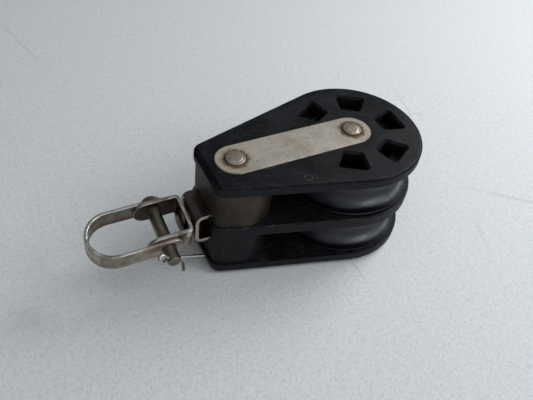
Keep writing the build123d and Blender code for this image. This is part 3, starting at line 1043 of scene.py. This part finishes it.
@dataclass
class Swivel:
    """Bracket, swivel rivet, washer and fork."""

    bracket: BentStrip = field(default_factory=lambda: BentStrip(
        "bent_head_bracket", thickness=1.5 * MM, width=14.8 * MM, half=6.05 * MM, bend=2.25 * MM,
        reach=24.45 * MM, tip_radius=7.39 * MM, holes=((17.05 * MM, 2.5 * MM),), web_hole=2.26 * MM,
        edge=0.22 * MM))
    fork: BentStrip = field(default_factory=lambda: BentStrip(
        "bent_swivel_fork", thickness=1.5 * MM, width=10 * MM, half=7.95 * MM, bend=1.55 * MM,
        reach=17.15 * MM, tip_radius=4.99 * MM, holes=((9.55 * MM, 2.56 * MM),), web_hole=2.2 * MM))
    stem: float = 2.2 * MM
    head: float = 5.0 * MM
    head_height: float = 2.2 * MM
    tail: float = 3.4 * MM
    tail_height: float = 2.0 * MM
    washer: float = 4.8 * MM
    washer_thickness: float = 0.8 * MM
    # Place of a painted highlight on the fork's near outer bend.
    painted_highlight_bend: tuple = (-69.8 * MM, -8.4 * MM, 3 * MM)

    def build(self, bench: Bench) -> None:
        """Make the four pieces."""
        middle_of_sheet = LAYOUT.sheet / 2
        brown = StainedSteel("bracket_steel", metal=(0.36, 0.28, 0.265), stain=(0.12, 0.07, 0.058),
                             staining=0.7, shine=(0.5, 0.44, 0.36), edge_axis=1, edge_shine=0.95,
                             grain=Grain.ACROSS, roughness=0.29, pitting=0.6).make()
        web = (-LAYOUT.bracket_face + middle_of_sheet, 0, LAYOUT.swivel_height)
        at_bracket = Matrix.Translation(web) @ HALF_TURN @ Matrix.Rotation(math.pi / 2, 4, "X")
        bench.hand_over(self.bracket.make(), at_bracket, brown, "block", "bracket_steel",
                        "head_bracket")
        # Rust round the ear tips; the halos in the inner corners by the web are painted corner shade as
        # well as rust.
        tips = [(-LAYOUT.clevis_x, side, 0) for side in (-7.9 * MM, 7.9 * MM)]
        corners = [(-LAYOUT.fork_face, side, 0) for side in (7 * MM, 4 * MM)]
        rust_and_shade_spots = tuple(LAYOUT.on_swivel(*place) for place in tips + corners)
        steel = StainedSteel("fork_steel", metal=(0.52, 0.455, 0.375), stain=(0.13, 0.078, 0.04),
                             staining=0.95, edge_axis=2, edge_shine=0.75, roughness=0.34,
                             pitting=0.7, halos=rust_and_shade_spots, halo_weights=(1, 1, 1), halo_inner=3 * MM,
                             halo_outer=6 * MM, halo_strength=0.7,
                             hollow=LAYOUT.on_swivel(-LAYOUT.clevis_x, 0, 0),
                             # A painted highlight: a near-white spot on the outer bend at the near
                             # corner.
                             spots=((LAYOUT.on_swivel(*self.painted_highlight_bend), 2.2 * MM,
                                     (1.0, 0.98, 0.95)),)).make()
        at_fork = LAYOUT.at_swivel() @ Matrix.Translation((-LAYOUT.fork_face - middle_of_sheet, 0, 0))
        bench.hand_over(self.fork.make(), at_fork, steel, "swivel", "fork_steel", "swivel_fork")
        dark = StainedSteel("swivel_steel", metal=(0.13, 0.09, 0.065), stain=(0.04, 0.026, 0.018),
                            rust=(0.42, 0.16, 0.045), staining=0.5, pitting=0.7, roughness=0.3).make()
        along = LAYOUT.at_swivel() @ Matrix.Rotation(-math.pi / 2, 4, "Y")
        rivet = lathe("domed_swivel_rivet", self.rivet_profile(), steps=64)
        roughen(rivet, 1.6 * MM, 0.2 * MM, 3.0)
        bench.hand_over(rivet, along @ Matrix.Translation((0, 0, LAYOUT.bracket_face)), dark, "swivel",
                        "swivel_steel", "swivel_rivet")
        top = LAYOUT.fork_face
        under = top - self.washer_thickness
        section = [(self.stem, top, 0), (self.washer, top, 0.2 * MM), (self.washer, under, 0.2 * MM),
                   (self.stem, under, 0)]
        washer = lathe("rounded_washer", rounded(section, closed=True, steps=4), steps=64, closed=True)
        bench.hand_over(washer, along, dark, "swivel", "swivel_steel", "swivel_washer")

    def rivet_profile(self) -> list[Point]:
        """Tail inside the bracket, stem, and dome inside the fork; 0 is the bracket's face."""
        tail_top = -LAYOUT.sheet - 0.05 * MM
        foot = LAYOUT.fork_face + LAYOUT.sheet - LAYOUT.bracket_face
        tail_end = tail_top - self.tail_height
        skirt = foot + 0.6 * MM
        crown = foot + self.head_height
        points = rounded([(0, tail_end, 0), (self.tail, tail_end, 0.6 * MM),
                          (self.tail, tail_top, 0.15 * MM), (self.stem, tail_top, 0),
                          (self.stem, foot, 0), (self.head, foot, 0.15 * MM), (self.head, skirt, 0)],
                         steps=5)
        for step in range(1, 15):
            turn = math.pi / 2 * step / 14
            points.append((self.head * math.cos(turn), skirt + (crown - skirt) * math.sin(turn)))
        points[-1] = (0, crown)
        return points


@dataclass
class Shackle:
    """Strip shackle on its clevis pin, kept by a split pin."""

    strip: BentStrip = field(default_factory=lambda: BentStrip(
        "bent_shackle", thickness=1.3 * MM, width=7.4 * MM, half=9.45 * MM, bend=9.45 * MM,
        reach=32.95 * MM, tip_radius=3.69 * MM, holes=((26.75 * MM, 2.56 * MM),), edge=0.3 * MM,
        cuts=30))
    bow_end: float = 105.75 * MM
    pin: float = 2.5 * MM
    pin_head: float = 3.9 * MM
    pin_head_height: float = 2.2 * MM
    pin_tail: float = 6.2 * MM
    side_clearance: float = 0.1 * MM
    split_offset: float = 4.3 * MM
    split_roll: float = 50.0
    wire_width: float = 1.5 * MM
    wire_depth: float = 0.8 * MM
    straight_leg: float = 13.2 * MM
    bent_leg: float = 4.8 * MM
    eye: float = 1.25 * MM
    drill: float = 1.03 * MM

    def build(self, bench: Bench) -> None:
        """Make the shackle, its pin and the split pin."""
        weathered = StainedSteel("shackle_steel", metal=(0.56, 0.51, 0.43), stain=(0.15, 0.1, 0.058),
                                 staining=0.7, edge_axis=2, edge_shine=0.95, roughness=0.36,
                                 pitting=0.5,
                                 halos=self.rusty_places(), halo_weights=(0.5, 1, 1.1),
                                 halo_inner=1.2 * MM, halo_outer=4.6 * MM, halo_strength=0.75,
                                 hollow=LAYOUT.on_swivel(-LAYOUT.clevis_x - 15 * MM, 0, 0),
                                 hollow_strength=0.4).make()
        at_bow = LAYOUT.at_swivel() @ Matrix.Translation((-self.bow_end, 0, 0)) @ HALF_TURN
        bench.hand_over(self.strip.make(), at_bow, weathered, "bow", "shackle_steel", "shackle")
        ends = tuple(self.on_pin(side) for side in (-6.4 * MM, 6.8 * MM, 10.4 * MM))
        green = StainedSteel("clevis_steel", metal=(0.3, 0.27, 0.2), stain=(0.1, 0.075, 0.04),
                             staining=0.8, rust=(0.09, 0.042, 0.016), pitting=0.7,
                             roughness=0.36, grain=Grain.ACROSS,
                             halos=ends, halo_weights=(0.5, 1, 0.5), halo_inner=0.9 * MM,
                             halo_outer=3.2 * MM, halo_strength=0.75).make()
        at_pin = LAYOUT.at_clevis() @ Matrix.Rotation(-math.pi / 2, 4, "X")
        bench.hand_over(self.clevis_pin(), at_pin, green, "clevis", "clevis_steel", "clevis_pin")
        at_split = (LAYOUT.at_clevis() @ Matrix.Translation((0, self.cross_hole(), 0))
                    @ Matrix.Rotation(math.radians(self.split_roll), 4, "X"))
        # A dark spot on the bent leg is painted shade.
        bent_leg = at_split @ Vector((self.pin + 2.4 * MM, -0.6 * self.bent_leg, 0))
        bright = StainedSteel("split_pin_steel", metal=(0.62, 0.6, 0.56), stain=(0.2, 0.16, 0.12),
                              staining=0.5, pitting=0.25, roughness=0.28,
                              halos=(self.on_pin(self.cross_hole()),),
                              halo_weights=(1, 1, 1), halo_inner=1.2 * MM, halo_outer=3.2 * MM,
                              halo_strength=0.6,
                              spots=((tuple(bent_leg), 2.3 * MM, (0.09, 0.065, 0.045)),)).make()
        bench.hand_over(self.split_pin(), at_split, bright, "clevis", "split_pin_steel", "split_pin")

    def rusty_places(self) -> tuple:
        """Along the lower edge of the far arm, and where the ears rub on the fork."""
        side = self.strip.half
        low = -self.strip.width / 2
        spots = [(-LAYOUT.clevis_x - reach, side, low) for reach in (8 * MM, 13 * MM, 19 * MM)]
        spots += [(-LAYOUT.clevis_x - 2 * MM, side, 2 * MM),
                  (-LAYOUT.clevis_x - 3 * MM, -side, 2.5 * MM)]
        return tuple(LAYOUT.on_swivel(*spot) for spot in spots)

    def cross_hole(self) -> float:
        """Where the split pin crosses the clevis pin, along the pin."""
        return -LAYOUT.ear_outside - self.split_offset

    def on_pin(self, along: float) -> tuple:
        """A place on the clevis pin's axis, in the block's frame."""
        return tuple(LAYOUT.at_clevis() @ Vector((0, along, 0)))

    def clevis_pin(self) -> bpy.types.Object:
        """Pin with a domed head and a chamfered, drilled tail; its head is at the high end of its Z."""
        foot = LAYOUT.ear_outside + self.side_clearance
        tail = -LAYOUT.ear_outside - self.pin_tail
        corners = [(0, tail, 0), (self.pin, tail, 0.55 * MM), (self.pin, foot, 0),
                   (self.pin_head, foot, 0.2 * MM), (self.pin_head, foot + 0.9 * MM, 0.5 * MM)]
        flat = self.pin_head - 1.2 * MM
        top = foot + self.pin_head_height
        profile = rounded(corners + [(flat, top, 0)], steps=6)
        profile += [(flat * share, top) for share in (0.75, 0.5, 0.25, 0.0)]
        pin = lathe("drilled_clevis_pin", profile, steps=64)
        end = 9 * MM
        drill = lathe("drill", [(0, -end), (self.drill, -end), (self.drill, end), (0, end)], steps=32)
        drill.data.transform(Matrix.Translation((0, 0, self.cross_hole()))
                             @ Matrix.Rotation(math.pi / 2, 4, "Y"))
        cut = pin.modifiers.new("drilled", "BOOLEAN")
        cut.object = drill
        cut.operation = "DIFFERENCE"
        drilled = to_mesh(pin, "drilled_clevis_pin")
        bpy.data.objects.remove(drill)
        return drilled

    def split_pin(self) -> bpy.types.Object:
        """Half-round wire: along one leg, round the eye and back along the bent leg."""
        apart = 0.06 * MM
        neck = -self.pin - 0.7 * MM
        centre = neck - self.eye * 0.95
        path = [(self.straight_leg, apart), (self.straight_leg * 0.5, apart), (neck, apart)]
        turns = [math.radians(30 + 300 * step / 14) for step in range(15)]
        path += [(centre + self.eye * math.cos(turn), self.eye * math.sin(turn)) for turn in turns]
        bend = self.pin + 1.2 * MM
        lean = 0.35 * self.bent_leg
        path += [(neck, -apart), (0, -apart), (bend, -apart), (bend + 0.5 * MM, -apart - 0.5 * MM),
                 (bend + lean, -apart - self.bent_leg)]
        wire = bpy.data.curves.new("split_wire", "CURVE")
        wire.dimensions = "3D"
        wire.twist_mode = "Z_UP"
        wire.bevel_mode = "OBJECT"
        wire.use_fill_caps = True
        wire.bevel_object = self.half_round()
        spline = add_line(wire, path, "NURBS")
        spline.order_u = 3
        spline.use_endpoint_u = True
        spline.resolution_u = 6
        section = wire.bevel_object
        piece = to_mesh(linked("split_wire", wire), "folded_split_pin")
        bpy.data.objects.remove(section)
        return merged(piece)

    def half_round(self) -> bpy.types.Object:
        """Section of the wire, flat on the side that faces the other leg."""
        curve = bpy.data.curves.new("half_round", "CURVE")
        curve.dimensions = "2D"
        turns = [math.pi * step / 10 for step in range(11)]
        add_line(curve, [(self.wire_depth * math.sin(turn), self.wire_width / 2 * math.cos(turn))
                         for turn in turns])
        return linked("half_round", curve)


# ---------------------------------------------------------------- the studio


@dataclass(frozen=True)
class Lamp:
    """A round soft lamp that looks at the origin."""

    name: str
    place: tuple
    size: float
    power: float
    colour: Colour = (0.94, 0.98, 1.0)

    def hang(self) -> None:
        """Put the lamp in the scene."""
        light = bpy.data.lights.new(self.name, "AREA")
        light.shape = "DISK"
        light.size = self.size
        light.energy = self.power
        light.color = self.colour
        lamp = linked(self.name, light)
        lamp.location = self.place
        lamp.rotation_euler = (-Vector(self.place)).to_track_quat("-Z", "Y").to_euler()


@dataclass
class Studio:
    """Table, light and camera."""

    azimuth: float = -32.85
    elevation: float = 45.22
    roll: float = 8.57
    distance: float = 204.4 * MM
    focal: float = 40.8
    aim: tuple = (-48.6 * MM, -22.2 * MM, 47.3 * MM)
    table_half: float = 3.0
    lamps: tuple = (Lamp("back_lamp", (0.38, 0.08, 0.35), 0.3, 1.3),
                    Lamp("side_lamp", (0.25, -0.27, 0.40), 0.26, 0.62))
    sky: Colour = (0.83, 0.88, 0.93)
    sky_side: tuple = (0.2, -0.55, 0.8)
    sky_low: float = 0.1
    sky_high: float = 0.76

    def build(self) -> None:
        """Make the table, the light and the camera."""
        self.table()
        self.light()
        self.camera()
        bpy.context.scene.view_settings.view_transform = "Standard"

    def table(self) -> None:
        """Lay the table top at z = 0."""
        mesh = bpy.data.meshes.new("table")
        half = self.table_half
        mesh.from_pydata([(-half, -half, 0), (half, -half, 0), (half, half, 0), (-half, half, 0)], [],
                         [(0, 1, 2, 3)])
        table = linked("table", mesh)
        mesh.materials.append(PaleTable().make())

    def light(self) -> None:
        """Hang the lamps in a room that glows from one side and is dim on the other."""
        for lamp in self.lamps:
            lamp.hang()
        world = bpy.data.worlds.new("room")
        world.use_nodes = True
        nodes = Nodes(world.node_tree)
        direction = nodes.add("ShaderNodeTexCoord").outputs["Generated"]
        towards = nodes.dot(direction, tuple(Vector(self.sky_side).normalized()))
        background = world.node_tree.nodes["Background"]
        nodes.feed(background.inputs["Color"], self.sky)
        nodes.feed(background.inputs["Strength"],
                   nodes.band(towards, 0.3, 0.95, self.sky_low, self.sky_high))
        bpy.context.scene.world = world

    def camera(self) -> None:
        """Stand the camera where it looks down on the block from its near side."""
        turn, rise, roll = (math.radians(a) for a in (self.azimuth, self.elevation, self.roll))
        back = Vector((math.sin(turn) * math.cos(rise), -math.cos(turn) * math.cos(rise),
                       math.sin(rise)))
        right = Vector((0, 0, 1)).cross(back).normalized()
        up = back.cross(right)
        across = right * math.cos(roll) + up * math.sin(roll)
        upward = up * math.cos(roll) - right * math.sin(roll)
        camera = linked("camera", bpy.data.cameras.new("camera"))
        camera.data.lens = self.focal
        camera.data.clip_start = 0.005
        pose = Matrix((across, upward, back)).transposed().to_4x4()
        pose.translation = Vector(self.aim) + back * self.distance
        camera.matrix_world = pose
        bpy.context.scene.camera = camera


def main() -> None:
    """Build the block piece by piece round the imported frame."""
    logging.basicConfig(level=logging.INFO, format="%(name)s: %(message)s")
    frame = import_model()
    bench = Bench(frame)
    Studio().build()
    for assembly in (Shell(), StrapsAndRivets(), SheaveSet(), Swivel(), Shackle()):
        LOG.info("building %s", type(assembly).__name__)
        assembly.build(bench)


if __name__ == "__main__":
    main()
